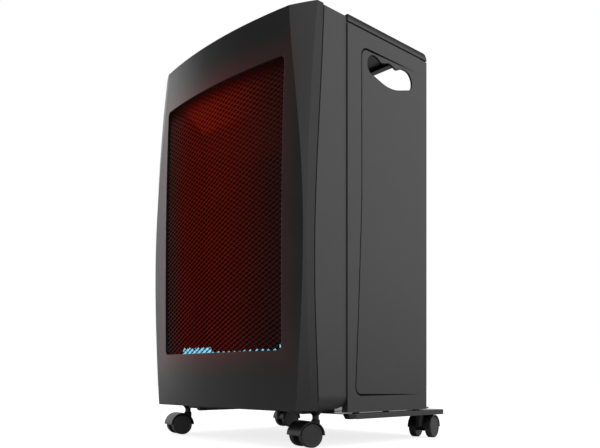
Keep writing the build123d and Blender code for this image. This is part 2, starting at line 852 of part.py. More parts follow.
def make_control_knob():
    plane = Plane((knob_x, knob_y, knob_bottom))
    tall = knob_top - knob_bottom
    taper = 1.0
    profile = (
        (0, 0), (knob_radius, 0), (knob_radius, 2.5), (knob_radius - taper, tall - 1.5),
        (knob_radius - taper - 1.5, tall), (0, tall))
    knob = turned(profile, plane)
    half = knob_grip_width / 2
    for side in (-1, 1):
        knob -= block(
            knob_x + side * half, knob_x + side * (knob_radius + 5),
            knob_y - knob_radius - 1, knob_y + knob_radius + 1,
            knob_top - knob_grip_depth, knob_top + 1)
    knob -= rod(plug_radius + slip_gap, (knob_x, knob_y, knob_bottom - 1),
                (knob_x, knob_y, knob_bottom + neck_rise))
    return knob - make_valve_spindle()


def make_control_panel():
    rim = recess_rim
    plate = block(
        recess_left - rim, recess_right + rim, recess_front - rim, recess_back + rim,
        housing_top, housing_top + sheet)
    bowl = block(
        recess_left - sheet, recess_right + sheet, recess_front - sheet,
        recess_back + sheet, recess_floor - sheet, housing_top)
    hollow = block(
        recess_left, recess_right, recess_front, recess_back,
        recess_floor, housing_top + 5)
    panel = plate + bowl - hollow
    panel -= rod(plug_radius + neck_hole_gap, (knob_x, knob_y, recess_floor - 5),
                 (knob_x, knob_y, recess_floor + 5))
    panel -= rod(piezo_radius, (button_x, knob_y, recess_floor - 5),
                 (button_x, knob_y, recess_floor + 5))
    return panel


def piezo_bottom():
    return recess_floor - sheet - piezo_length


def make_piezo_igniter():
    bottom = piezo_bottom()
    top = recess_floor + collar_height
    plane = Plane((button_x, knob_y, 0))
    bore = button_radius + slip_gap
    profile = (
        (0, bottom), (piezo_radius - 3, bottom), (piezo_radius - 3, bottom + 8),
        (piezo_radius, bottom + 8), (piezo_radius, recess_floor),
        (collar_radius, recess_floor), (collar_radius, top), (bore, top),
        (bore, button_bottom() - button_travel - slip_gap),
        (0, button_bottom() - button_travel - slip_gap))
    return turned(profile, plane)


def button_bottom():
    return recess_floor - 8


def make_igniter_button():
    top = recess_floor + collar_height + button_rise
    return fillet(
        rod(button_radius, (button_x, knob_y, button_bottom()),
            (button_x, knob_y, top)).edges().sort_by(Axis.Z)[-1:], 1.5)


# Gas inlet: through the bulkhead into the bottle bay, with barbs for the hose
def make_hose_nozzle():
    start = knob_y + valve_depth / 2
    plane = Plane((knob_x, start, port_z), z_dir=(0, 1, 0))
    seat = module_back - housing_wall - start
    nut = seat + nozzle_nut_height
    end = nut + nozzle_length
    profile = [
        (nozzle_bore, 0), (nozzle_root_radius, 0), (nozzle_root_radius, seat),
        (nozzle_nut_radius, seat), (nozzle_nut_radius, nut), (nozzle_radius, nut),
        (nozzle_radius, nut + nozzle_neck)]
    for index in range(barb_count):
        z = nut + nozzle_neck + index * barb_pitch
        profile += [(nozzle_radius + barb_height, z + 0.5), (nozzle_radius, z + barb_pitch)]
    profile += [(nozzle_radius - 0.8, end), (nozzle_bore, end)]
    return turned(profile, plane)


# ---------------------------------------------------------------- sleeve
def handle_face(grow):
    points = [
        (sleeve_front + back, cabinet_height - drop) for back, drop in handle_corners]
    face = outline(points, handle_radii)
    return offset(face, grow) if grow else face


def field_points():
    bottom = panel_bottom + field_rise
    top = cabinet_height - field_drop
    back = sleeve_back - field_back_gap
    front = [
        (sleeve_front + inset, bottom + share * (top - bottom)) for inset, share in field_front]
    return front + [(back, bottom), (back, top)]


# The pressing as a solid between the panel's outside and its deepest face, moved
# in by the shift and grown sideways, tilted so that it fades out to the rear
def field_solid(shift, grow):
    base = outline(field_points(), field_radii)
    mouth = offset(base, grow) if grow else base
    floor = offset(base, grow - field_slope)
    mouth_wire = (Plane.YZ.offset(half_width - shift) * mouth).face().outer_wire()
    floor_wire = (Plane.YZ.offset(half_width - shift - field_depth) * floor).face().outer_wire()
    pressing = Solid.make_loft([floor_wire, mouth_wire], ruled=True)
    ahead_of = sleeve_front + min(inset for inset, _ in field_front) - 20
    end = sleeve_back - field_back_gap
    face_x = half_width - shift
    deepest_x = face_x - field_depth * (end - ahead_of) / (end - ahead_of - 20)
    wedge = outline(((face_x, ahead_of), (deepest_x, ahead_of), (face_x, end)), 0)
    return pressing & upright(wedge, panel_bottom, panel_top)


def make_right_side_panel(screws):
    inner = half_width - sheet
    skin = block(inner, half_width, sleeve_front, sleeve_back, panel_bottom, panel_top)
    skin += field_solid(sheet, sheet)
    skin -= field_solid(0, 0)
    strip = block(
        inner - sheet - 0.1, inner, sleeve_front + strip_front_gap,
        sleeve_back - strip_back_gap, panel_top - strip_height, cabinet_height - sheet)
    front = block(
        inner - flange, inner, module_back, module_back + sheet,
        panel_bottom, panel_top - strip_height - 5)
    bottom = block(
        inner - flange, inner, module_back, sleeve_back - crossbar_overhang / 4,
        panel_bottom, panel_bottom + sheet)
    rear = block(
        half_width - rear_flange, inner, sleeve_back - sheet, sleeve_back,
        crossbar_top() + 1, panel_top)
    panel = skin + strip + front + bottom + rear
    rim = across(handle_face(sheet), inner - handle_rim, inner)
    panel = panel + rim - across(handle_face(0), inner - handle_rim - 5, half_width + 5)
    return panel - screws


def crossbar_top():
    return panel_bottom + sheet + crossbar_height


def cover_solid(inset):
    bottom = cabinet_height - cover_depth
    solid = block(
        inset - half_width, half_width - inset, sleeve_front + inset, sleeve_back - inset,
        bottom, cabinet_height - inset)
    edge = solid.edges().filter_by(Axis.X).group_by(Axis.Z)[-1].sort_by(Axis.Y)[-1:]
    return fillet(edge, cover_roll - inset)


def make_top_cover():
    cover = cover_solid(0) - cover_solid(sheet)
    # The rear edge is open between its ends
    cover -= block(
        notch_side - half_width, half_width - notch_side,
        sleeve_back - notch_depth, sleeve_back + 5, 0, cabinet_height + 5)
    # The front lip clears the top of the front housing
    return cover - block(
        sheet - half_width, half_width - sheet, sleeve_front - 5, sleeve_front + 5,
        0, housing_top + cover_lip_gap)


def make_rear_top_rail():
    half = half_width - 2 * sheet - 0.1
    y1 = sleeve_back - strip_back_gap
    top = cabinet_height - sheet
    web = block(-half, half, y1 - sheet, y1, top - rail_height, top)
    lip = block(-half, half, y1 - rail_lip, y1, top - rail_height, top - rail_height + sheet)
    return web + lip - strips_of_panels()


def strips_of_panels():
    inner = half_width - 2 * sheet - 0.1
    return [
        block(s * inner, s * half_width, sleeve_front, sleeve_back, panel_top - 60, cabinet_height)
        for s in (-1, 1)]


def make_rear_cross_bar():
    half = half_width - sheet - 1.0
    y1 = sleeve_back + crossbar_overhang
    return block(-half, half, y1 - crossbar_depth, y1, panel_bottom + sheet, crossbar_top())


# ---------------------------------------------------------------- tray
def tray_solid(inset):
    plan = Pos(0, (tray_front + tray_back) / 2) * Rectangle(
        cabinet_width - 2 * inset, tray_back - tray_front)
    solid = upright(plan, tray_bottom, tray_top - inset)
    if inset:
        solid = Pos(0, -inset, 0) * solid
    rear = solid.edges().filter_by(Axis.Z).sort_by(Axis.Y)[-2:]
    return fillet(rear, tray_corner - inset)


def make_bottle_tray(screws):
    tray = tray_solid(0) - tray_solid(sheet)
    for s in (-1, 1):
        tray -= block(
            s * (half_width - cap_width), s * (half_width + 1), tray_front - 1,
            tray_front + cap_length, tray_bottom - 1, tray_top - sheet)
    for x in (-rear_caster_x, rear_caster_x):
        tray -= stem_hole(x, tray_back - rear_caster_in, tray_top - sheet)
    tray += stand_solid(0, tray_top, tray_top + stand_rise)
    tray -= stand_solid(sheet, tray_top - sheet - 1, tray_top + stand_rise - sheet)
    return tray - screws


def stand_solid(inset, z0, z1):
    y0 = tray_front + stand_front_gap + inset
    y1 = tray_back - stand_back_gap - inset
    plan = Pos(0, (y0 + y1) / 2) * RectangleRounded(
        stand_width - 2 * inset, y1 - y0, stand_corner - inset)
    return upright(plan, z0, z1)


# Moulded ends of the tray's side flanges, with a blunt nose
def make_tray_end_caps():
    low, high = tray_bottom + 0.5, tray_top - sheet
    points = (
        (tray_front + cap_length, low), (tray_front + 1.5, low),
        (tray_front - cap_nose, tray_top - 2), (tray_front - 1.5, tray_top + 0.6),
        (tray_front, tray_top + 0.6), (tray_front, high), (tray_front + cap_length, high))
    cap = across(outline(points, 0), half_width - cap_width, half_width)
    return both_sides(cap)


def make_tray_brackets():
    y0 = module_back - housing_wall - bottom_roll - bracket_front
    x1 = half_width - bracket_side
    bar = block(
        x1 - bracket_width, x1, y0, tray_front + bracket_back, tray_top, housing_bottom)
    return both_sides(bar)


def tray_screw_places():
    ys = (tray_front + 25, (sleeve_front + sleeve_back) / 2, sleeve_back - 24)
    x = half_width - sheet - flange / 2
    return [(s * x, y) for s in (-1, 1) for y in ys]


def make_tray_spacers():
    return [
        rod(spacer_radius, (x, y, tray_top), (x, y, panel_bottom))
        - rod(screw_radius, (x, y, tray_top - 1), (x, y, panel_bottom + 1))
        for x, y in tray_screw_places()]


# ---------------------------------------------------------------- casters
# Drawn with the stem on the Z axis and the wheels ahead of it
wheel_axis_y = -caster_offset


def axle_rod(radius, x0, x1):
    return rod(radius, (x0, wheel_axis_y, wheel_radius), (x1, wheel_axis_y, wheel_radius))


def make_hood():
    half = caster_width / 2
    inner = wheel_radius + hood_gap
    shell = axle_rod(hood_radius, -half, half) - axle_rod(inner, -half - 1, half + 1)
    web = axle_rod(inner, -web_width / 2, web_width / 2)
    hood = shell + web - block(
        -half - 1, half + 1, wheel_axis_y - 2 * hood_radius, wheel_axis_y + 2 * hood_radius,
        wheel_radius - 2 * hood_radius, wheel_radius)
    hood += axle_rod(axle_boss_radius, -web_width / 2, web_width / 2)
    hood += rod(stem_boss_radius, (0, 0, wheel_radius + 2), (0, 0, caster_top))
    hood -= rod(stem_pin_radius + running_gap, (0, 0, stem_pin_bottom() - 1),
                (0, 0, caster_top + 1))
    return hood - axle_rod(axle_radius, -half, half)


def stem_pin_bottom():
    return wheel_radius + 6


def make_axle():
    reach = caster_width / 2 - wheel_cap - slip_gap
    return axle_rod(axle_radius, -reach, reach)


def make_wheel(side):
    half = caster_width / 2
    plane = Plane((side * half, wheel_axis_y, wheel_radius), z_dir=(-side, 0, 0))
    hub = half - web_width / 2 - slip_gap
    bore = axle_radius + running_gap
    profile = (
        (0, 0.6), (wheel_radius - 4.2, 0.6), (wheel_radius - 3.4, 0),
        (wheel_radius - 1.2, 0), (wheel_radius, 1.2), (wheel_radius, wheel_width - 1.2),
        (wheel_radius - 1.2, wheel_width), (hub_radius, wheel_width),
        (hub_radius, hub), (bore, hub), (bore, wheel_cap), (0, wheel_cap))
    return turned(profile, plane)


# Stem: a flared cap under the plate, a neck, and the pin that the hood swivels on
def make_stem(plate_bottom, shank_top):
    neck_bottom = caster_top + slip_gap
    flare = min(9.0, (plate_bottom - neck_bottom) * 0.7)
    profile = (
        (0, stem_pin_bottom()), (stem_pin_radius, stem_pin_bottom()),
        (stem_pin_radius, neck_bottom), (stem_neck_radius + 1.2, neck_bottom),
        (stem_neck_radius + 1.2, neck_bottom + 1), (stem_neck_radius, neck_bottom + 1.4),
        (stem_neck_radius, plate_bottom - flare), (stem_top_radius, plate_bottom - 1.5),
        (stem_top_radius, plate_bottom), (stem_pin_radius, plate_bottom),
        (stem_pin_radius, shank_top), (0, shank_top))
    return turned(profile)


def make_nut(z):
    nut = Plane.XY.offset(z) * RegularPolygon(nut_across / 2, 6, major_radius=False)
    return extrude(nut, nut_height) - rod(stem_pin_radius, (0, 0, z - 1), (0, 0, z + 9))


casters = {
    "front_right": (front_caster_x, front_y + front_caster_back, front_caster_turn),
    "front_left": (-front_caster_x, front_y + front_caster_back, front_caster_turn),
    "rear_right": (rear_caster_x, tray_back - rear_caster_in, rear_caster_turn),
    "rear_left": (-rear_caster_x, tray_back - rear_caster_in, -rear_caster_turn),
}


def save_casters():
    stems = {"front": [], "rear": []}
    nuts = []
    for name, (x, y, turn) in casters.items():
        place = Pos(x, y, 0) * Rot(0, 0, turn)
        save(f"{name}_hood", place * make_hood())
        save(f"{name}_axle", place * make_axle())
        save(f"{name}_wheel_a", place * make_wheel(1))
        save(f"{name}_wheel_b", place * make_wheel(-1))
        end = name.split("_")[0]
        under = housing_bottom if end == "front" else tray_top - sheet
        seat = base_top if end == "front" else tray_top
        stems[end].append(Pos(x, y, 0) * make_stem(under, seat + nut_height))
        nuts.append(Pos(x, y, 0) * make_nut(seat))
    save("front_caster_stems", *stems["front"])
    save("rear_caster_stems", *stems["rear"])
    save("caster_nuts", *nuts)


# ---------------------------------------------------------------- screws
def fascia_screw_places():
    y = front_y + seam_back[-1] - fascia_screw_in
    x = half_width - fascia_screw_side
    return [(s * x, y, fascia_top) for s in (-1, 0, 1)]


def panel_screw_places():
    x = half_width - sheet - flange / 2
    lowest = floor_top + 20
    highest = panel_top - 60
    step = (highest - lowest) / 3
    return [
        (s * x, module_back + sheet, lowest + index * step)
        for s in (-1, 1) for index in range(4)]


def all_screws(make):
    fascia = [make(place, (0, 0, -1), fascia_screw_length) for place in fascia_screw_places()]
    panel = [make(place, (0, -1, 0), panel_screw_length) for place in panel_screw_places()]
    tray = [
        make((x, y, panel_bottom + sheet), (0, 0, -1), tray_screw_length)
        for x, y in tray_screw_places()]
    return fascia + panel + tray


def main():
    os.makedirs("parts", exist_ok=True)
    screws = all_screws(screw_hole)
    save("fascia", make_fascia(screws))
    save("grille", make_grille())
    save("grille_frame", make_grille_frame())
    save("front_housing", make_front_housing(screws))
    save("bulkhead", make_bulkhead(screws))
    save("base_plate", make_base_plate())
    save("chamber_back", make_chamber_back())
    save("chamber_left_wall", make_chamber_wall(-1))
    save("chamber_right_wall", make_chamber_wall(1))
    save("chamber_ceiling", make_chamber_ceiling())
    save("chamber_floor", make_chamber_floor())
    save("burner_bar", make_burner_bar())
    save("burner_saddles", *make_burner_saddles())
    save("gas_injector", make_gas_injector())
    save("pilot_bracket", make_pilot_bracket())
    save("pilot_burner", make_pilot_burner())
    save("thermocouple", make_thermocouple())
    save("spark_electrode", make_spark_electrode())
    save("spark_lead", make_spark_lead())
    save("pilot_pipe", make_pilot_pipe())
    save("main_gas_pipe", make_main_gas_pipe())
    save("gas_valve", make_gas_valve())
    save("valve_bracket", make_valve_bracket())
    save("valve_plug", make_valve_plug())
    save("valve_spindle", make_valve_spindle())
    save("control_knob", make_control_knob())
    save("control_panel", make_control_panel())
    save("piezo_igniter", make_piezo_igniter())
    save("igniter_button", make_igniter_button())
    save("hose_nozzle", make_hose_nozzle())
    right_panel = make_right_side_panel(screws)
    save("right_side_panel", right_panel)
    save("left_side_panel", mirror(right_panel, Plane.YZ))
    save("top_cover", make_top_cover())
    save("rear_top_rail", make_rear_top_rail())
    save("rear_cross_bar", make_rear_cross_bar())
    save("bottle_tray", make_bottle_tray(screws))
    save("tray_end_caps", *make_tray_end_caps())
    save("tray_brackets", *make_tray_brackets())
    save("tray_spacers", *make_tray_spacers())
    save("sheet_screws", *all_screws(screw))
    save_casters()


main()
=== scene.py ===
import bpy, json, math
import numpy as np
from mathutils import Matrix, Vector


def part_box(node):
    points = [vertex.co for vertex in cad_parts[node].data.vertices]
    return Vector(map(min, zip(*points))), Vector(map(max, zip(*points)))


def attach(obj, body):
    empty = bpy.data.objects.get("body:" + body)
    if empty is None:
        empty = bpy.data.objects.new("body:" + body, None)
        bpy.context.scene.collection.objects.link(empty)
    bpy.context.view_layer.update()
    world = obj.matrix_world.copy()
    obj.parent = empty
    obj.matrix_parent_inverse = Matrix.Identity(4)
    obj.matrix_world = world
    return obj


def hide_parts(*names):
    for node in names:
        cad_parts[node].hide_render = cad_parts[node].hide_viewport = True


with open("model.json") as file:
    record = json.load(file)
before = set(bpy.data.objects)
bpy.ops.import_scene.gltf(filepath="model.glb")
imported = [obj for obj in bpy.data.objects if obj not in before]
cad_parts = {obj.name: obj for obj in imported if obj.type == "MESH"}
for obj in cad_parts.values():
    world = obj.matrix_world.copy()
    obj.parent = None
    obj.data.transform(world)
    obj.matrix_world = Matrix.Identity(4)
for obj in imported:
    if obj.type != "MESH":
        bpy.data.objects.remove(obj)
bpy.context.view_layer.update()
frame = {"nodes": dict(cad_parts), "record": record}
record = frame["record"]
print("frame loaded:", len(frame["nodes"]), "nodes")

# The camera, at the photograph's place
view = {
    "eye": (1.029, -0.9507, 0.1162),
    "turn": 46.77,              # degrees to the left of straight back
    "lens": 41.64,              # this and the sensor's width are in millimetres
    "sensor": 36,
    "shiftY": 0.2562,           # how far the picture is shifted up, in picture widths
}


def makeCamera():
    lens = bpy.data.cameras.new("heaterCamera")
    lens.lens = view["lens"]
    lens.sensor_width = view["sensor"]
    lens.shift_y = view["shiftY"]
    holder = bpy.data.objects.new("heaterCamera", lens)
    holder.location = view["eye"]
    holder.rotation_euler = (math.radians(90), 0, math.radians(view["turn"]))
    bpy.context.collection.objects.link(holder)
    bpy.context.scene.camera = holder
    bpy.context.scene.view_settings.view_transform = "Standard"


makeCamera()
print("camera placed")


# A socket in an expression: each operator adds its node
class Wire:
    def __init__(self, tree, socket):
        self.tree, self.socket = tree, socket

    def calc(self, operation, *others):
        node = self.tree.nodes.new("ShaderNodeMath")
        node.operation = operation
        for slot, value in enumerate((self,) + others):
            if isinstance(value, Wire):
                self.tree.links.new(value.socket, node.inputs[slot])
            else:
                node.inputs[slot].default_value = value
        return Wire(self.tree, node.outputs[0])

    def __add__(self, other):
        return self.calc("ADD", other)

    def __sub__(self, other):
        return self.calc("SUBTRACT", other)

    def __mul__(self, other):
        return self.calc("MULTIPLY", other)

    def __rsub__(self, other):
        return self * -1.0 + other

    __radd__ = __add__
    __rmul__ = __mul__

    # 0 below low, 1 above high, smooth between
    def ramp(self, low, high):
        node = self.tree.nodes.new("ShaderNodeMapRange")
        node.interpolation_type = "SMOOTHSTEP"
        self.tree.links.new(self.socket, node.inputs[0])
        node.inputs[1].default_value = low
        node.inputs[2].default_value = high
        return Wire(self.tree, node.outputs[0])


# A tree of nodes: one method makes any node, another mixes two colours
class Tree:
    def __init__(self, owner):
        owner.use_nodes = True
        self.tree = owner.node_tree
        self.tree.nodes.clear()

    # Its type, its settings and its inputs; gives one output, or the node itself
    def node(self, kind, settings, inputs, output=0):
        made = self.tree.nodes.new(kind)
        for key, value in settings.items():
            setattr(made, key, value)
        for key, value in inputs.items():
            if isinstance(value, Wire):
                self.tree.links.new(value.socket, made.inputs[key])
            else:
                made.inputs[key].default_value = value
        return made if output is None else Wire(self.tree, made.outputs[output])

    # Its sockets 6 and 7 take the two colours, and 2 gives the result
    def mix(self, factor, first, second):
        colours = {6: first, 7: second}
        inputs = {key: c if isinstance(c, Wire) else (*c, 1) for key, c in colours.items()}
        return self.node("ShaderNodeMix", {"data_type": "RGBA"}, {0: factor, **inputs}, 2)


# Painted shade in grooves and seams: how open a place is when the shade is darkest and when it
# is clear, how far the painted shade covers the darkest, and the shade's colour
groove = {
    "open": (0.30, 0.72),
    "depth": 0.92,
    "black": (0.002, 0.0018, 0.0018),
}


# One finish: a Principled shader read in the object's own space
class Finish(Tree):
    def __init__(self, name, colour, roughness, metallic=0.0, specular=0.5):
        self.mat = bpy.data.materials.new(name)
        super().__init__(self.mat)
        self.shader = self.node("ShaderNodeBsdfPrincipled", {}, {
            "Base Color": (*colour, 1), "Roughness": roughness, "Metallic": metallic,
            "Specular IOR Level": specular}, None)
        self.out = self.node("ShaderNodeOutputMaterial", {}, {
            0: Wire(self.tree, self.shader.outputs[0])}, None)
        self.place = self.node("ShaderNodeTexCoord", {}, {}, "Object")
        split = self.node("ShaderNodeSeparateXYZ", {}, {0: self.place}, None)
        self.x, self.y, self.z = (Wire(self.tree, socket) for socket in split.outputs)

    def noise(self, scale, detail=3.0, roughness=0.55, stretch=(1, 1, 1)):
        place = self.node("ShaderNodeVectorMath", {"operation": "MULTIPLY"},
                          {0: self.place, 1: stretch})
        return self.node("ShaderNodeTexNoise", {}, {
            "Vector": place, "Scale": scale, "Detail": detail, "Roughness": roughness}, 0)

    def feed(self, name, wire):
        self.tree.links.new(wire.socket, self.shader.inputs[name])

    def glow(self, wire, gain):
        self.feed("Emission Color", wire)
        self.shader.inputs["Emission Strength"].default_value = gain

    # Painted shade: the shader gives way to near-black as a groove or seam closes in, within the
    # given reach, and where the given line of painted shade runs
    def paintSeamShade(self, reach, line=None):
        free = self.node("ShaderNodeAmbientOcclusion", {"samples": 8}, {"Distance": reach}, 1)
        dark = (1 - free.ramp(*groove["open"])) * groove["depth"]
        if line:
            dark = dark.calc("MAXIMUM", line)
        black = self.node("ShaderNodeBsdfDiffuse", {}, {"Color": (*groove["black"], 1)})
        mixed = self.node("ShaderNodeMixShader", {}, {
            0: dark, 1: Wire(self.tree, self.shader.outputs[0]), 2: black})
        self.tree.links.new(mixed.socket, self.out.inputs[0])

    # Grain on a normal that is softened over the given radius at each edge
    def relief(self, height, strength, depth, soften=0.0):
        inputs = {"Height": height, "Strength": strength, "Distance": depth}
        if soften:
            inputs["Normal"] = self.node("ShaderNodeBevel", {"samples": 6}, {"Radius": soften})
        self.feed("Normal", self.node("ShaderNodeBump", {}, inputs))

    # How far the surface faces along one axis, from -1 to 1
    def facing(self, axis):
        true = self.node("ShaderNodeNewGeometry", {}, {}, "Normal")
        return self.node("ShaderNodeSeparateXYZ", {}, {0: true}, axis)

    # How far a place is outside a rectangle, given by its middle and half its size
    def beyond(self, first, second, middle, half):
        beside = (first - middle[0]).calc("ABSOLUTE") - half[0]
        above = (second - middle[1]).calc("ABSOLUTE") - half[1]
        return beside.calc("MAXIMUM", above)

    # How near an edge: where the normal, rounded over a radius, leaves the true one
    def edges(self, radius, low=0.02, high=0.3):
        rounded = self.node("ShaderNodeBevel", {"samples": 4}, {"Radius": radius})
        true = self.node("ShaderNodeNewGeometry", {}, {}, "Normal")
        dot = self.node("ShaderNodeVectorMath", {"operation": "DOT_PRODUCT"},
                        {0: rounded, 1: true}, 1)
        return (1 - dot).ramp(low, high)


# A colour times the gain, with the lift on top, and 1 at most
def paler(colour, gain, lift=0.0):
    return tuple(min(1.0, c * gain + lift) for c in colour)


# In every coat: the noise where pale clouds and where wear start, and where each is full
contrast = {
    "cloud": (0.3, 0.7),
    "patch": (0.4, 0.7),
}

# Two kinds of coat: baked satin paint on sheet, and faintly pebbled moulded plastic
satin = {
    "cloud": (7.0, 4.0),        # noise: scale and detail of the clouds in its colour,
    "patch": (60.0, 5.0, 0.65), # of the patches of wear, with the noise's own roughness,
    "grain": (1500.0, 2.0),     # and of the grain
    "shades": (0.90, 1.10),     # darkest and palest cloud, as shares of the colour
    "wear": (0.0010, 0.22),     # width and strength of the wear along edges
    "bare": (2.4, 0.02),        # gain and lift of the colour where it is worn
    "rough": (0.08, 0.06),      # how much the clouds and the patches change its roughness
    "bump": (0.10, 0.0001),     # strength and depth of the grain
    "reach": 0.005,             # how close a neighbour paints shade in a seam
}
moulded = {
    "cloud": (26.0, 4.0),
    "patch": (90.0, 4.0),
    "grain": (2600.0, 2.0),
    "shades": (0.86, 1.14),
    "wear": (0.0008, 0.30),
    "bare": (2.2, 0.02),
    "rough": (0.12, 0.0),
    "bump": (0.12, 0.00008),
    "reach": 0.004,
}


# A coat of one kind: cloudy colour, fine grain, paler worn edges, painted shade in its seams,
# and a line of painted shade where the function given for it draws one
def coated(kind, name, colour, roughness, soften=0.0, line=None, specular=0.5):
    f = Finish(name, colour, roughness, 0.0, specular)
    cloud, patch, grain = (f.noise(*kind[layer]) for layer in ("cloud", "patch", "grain"))
    dark, pale = (paler(colour, share) for share in kind["shades"])
    width, strength = kind["wear"]
    body = f.mix(cloud.ramp(*contrast["cloud"]), dark, pale)
    worn = f.edges(width) * patch.ramp(*contrast["patch"]) * strength
    f.feed("Base Color", f.mix(worn, body, paler(colour, *kind["bare"])))
    byCloud, byPatch = kind["rough"]
    f.feed("Roughness", cloud * byCloud + patch * byPatch + (roughness - (byCloud + byPatch) / 2))
    f.relief(grain, *kind["bump"], soften)
    f.paintSeamShade(kind["reach"], line(f) if line else None)
    return f


# Bare metal: fine drawn or turned lines, tarnish in patches
metal = {
    "lines": (800.0, 3.0, 0.6), # noise: scale, detail and roughness, as for the patches
    "patch": (70.0, 5.0, 0.7),
    "tarnish": (0.42, 0.75, 0.45),      # the noise where it starts, is full, and its strength
    "rough": (0.16, 0.3),       # how much the lines and the tarnish change its roughness
    "bump": (0.08, 0.0001),
}


def bareMetal(name, colour, roughness, stretch, tarnish):
    f = Finish(name, colour, roughness, 1.0)
    lines = f.noise(*metal["lines"], stretch)
    start, full, strength = metal["tarnish"]
    mask = f.noise(*metal["patch"]).ramp(start, full) * strength
    f.feed("Base Color", f.mix(mask, colour, tarnish))
    byLines, byTarnish = metal["rough"]
    f.feed("Roughness", lines * byLines + mask * byTarnish + (roughness - byLines / 2))
    f.relief(lines, *metal["bump"])
    return f


def dress(obj, finish):
    obj.data.materials.clear()
    obj.data.materials.append(finish.mat)


# A node's points, one to a row
def pointsOf(name):
    mesh = frame["nodes"][name].data
    points = np.empty(len(mesh.vertices) * 3)
    mesh.vertices.foreach_get("co", points)
    return points.reshape(-1, 3)


print("shader tools ready")

# Sizes read from the frame
grilleLow, grilleHigh = (np.array(corner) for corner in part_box("grille"))
burnerLow, burnerHigh = (np.array(corner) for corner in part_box("burner_bar"))

# Colours of the paint, and the red light that the chamber throws on the fascia, painted on as a
# glow
paint = {
    "cabinet": (0.046, 0.045, 0.045),
    "cabinetRoughness": 0.42,
    "fold": 0.0012,             # radius that the cabinet's folds are softened over
    # The fascia's colour is the cabinet's paint, darkened as painted shade for its dimmer front
    "fascia": (0.026, 0.025, 0.025),
    "fasciaRoughness": 0.34,
    "crease": 0.0008,           # radius that the fascia's creases are softened over
    "sideFacing": (0.86, 0.97), # how far sideways it faces where the painted shade starts, is full
    "sideShade": 0.33,           # how far near-black painted shade covers its sides
    "glow": (1.0, 0.03, 0.01),
    "glowGain": 0.046,
    "glowReach": (-0.015, 0.050),       # from the opening's edge: where it fades, and ends
    "glowFacing": (0.3, 0.7),   # how far forward a surface faces, without it and in full
    "glowFade": (-0.02, 0.15, 0.65),    # X where it starts to weaken, ends, its share lost
    "meshLap": 0.009,           # how far the net runs on behind the fascia
}

# Painted shade along the open seam behind the fascia. Its line is y = a polynomial of
# (z - middle) / half of the height, fitted to the points of the rear edge. Those are the rearmost
# of the fascia's widest points, and the others bound the flat strip before it.
seam = {
    "line": (-0.0004, 0.0042),  # reach of the painted shade from that edge, over gap and step
    "blur": 0.0008,             # how softly it ends
    "depth": 0.85,              # how dark the painted shade is
    "widest": 0.999,            # the widest points have at least this share of the greatest X
    # Fits that drop points: the power, and how far before the fit a point may lie to be kept
    "fits": ((2, 0.0), (4, 0.0025), (4, 0.001)),
    "power": 5,                 # of the last fit
}


def fitSeam():
    points = pointsOf("fascia")
    points = points[np.abs(points[:, 0]) > seam["widest"] * points[:, 0].max()]
    low, high = points[:, 2].min(), points[:, 2].max()
    level = (points[:, 2] * 2 - low - high) / (high - low)
    back = points[:, 1]
    for power, limit in seam["fits"]:
        off = back - np.polyval(np.polyfit(level, back, power), level)
        kept = off > -limit
        level, back = level[kept], back[kept]
    weights = np.polyfit(level, back, seam["power"])
    miss = np.abs(np.polyval(weights, level) - back).max()
    print("seam fitted to", len(back), "points, off by", round(float(miss), 5))
    return low, high, weights.tolist()


seamFit = fitSeam()


# The polynomial is built up from its highest power; the band it bounds is painted shade
def seamShadeLine(f):
    low, high, weights = seamFit
    t = f.z * (2 / (high - low)) - (low + high) / (high - low)
    edge = t * weights[0] + weights[1]
    for weight in weights[2:]:
        edge = edge * t + weight
    first, last = seam["line"]
    off = (f.y - edge - (first + last) / 2).calc("ABSOLUTE") - (last - first) / 2
    return (1 - off.ramp(-seam["blur"] / 2, seam["blur"] / 2)) * seam["depth"]


# Painted shade: the fascia's sides are darker than its front, and the seam's painted shade runs
# along its rear edge
def fasciaShadeLine(f):
    side = f.facing("X").calc("ABSOLUTE").ramp(*paint["sideFacing"]) * paint["sideShade"]
    return side.calc("MAXIMUM", seamShadeLine(f))


# The fascia's paint, with the chamber's red light painted round the opening as a glow
def fasciaPaint():
    f = coated(satin, "fasciaPaint", paint["fascia"], paint["fasciaRoughness"],
               paint["crease"], fasciaShadeLine)
    middle = (grilleLow + grilleHigh) / 2
    half = (grilleHigh - grilleLow) / 2 - paint["meshLap"]
    out = f.beyond(f.x, f.z, middle[[0, 2]], half[[0, 2]])
    forward = (f.facing("Y") * -1.0).ramp(*paint["glowFacing"])
    start, end, lost = paint["glowFade"]
    kept = 1 - f.x.ramp(start, end) * lost
    spill = (1 - out.ramp(*paint["glowReach"])) * forward * kept
    f.glow(f.mix(spill, (0, 0, 0), paint["glow"]), paint["glowGain"])
    return f


# The side panels' pressed field: its sloping edge carries a line of painted shade, which grows
# fainter towards the rear, except at the foot
pressing = {
    "slope": (0.92, 0.985),     # how far sideways the surface faces, on the slope and off it
    "width": 0.0022,            # how far the painted shade runs on beside the slope
    "bend": (0.0008, 0.005),    # how far the rounded normal turns where that starts, is full
    "depth": 0.95,              # how dark the painted shade line is
    "front": 0.012,             # field to the panel's front and rear edges, at least
    "foot": 0.020,              # and to its foot and top
    "blur": 0.001,              # how softly the line ends there
    "fade": (0.05, 0.10, 0.8),  # Y where the line starts to fade, ends, and its share lost
    "fadeRise": (0.05, 0.10),   # over the panel's foot: where that fading sets in, is full
}


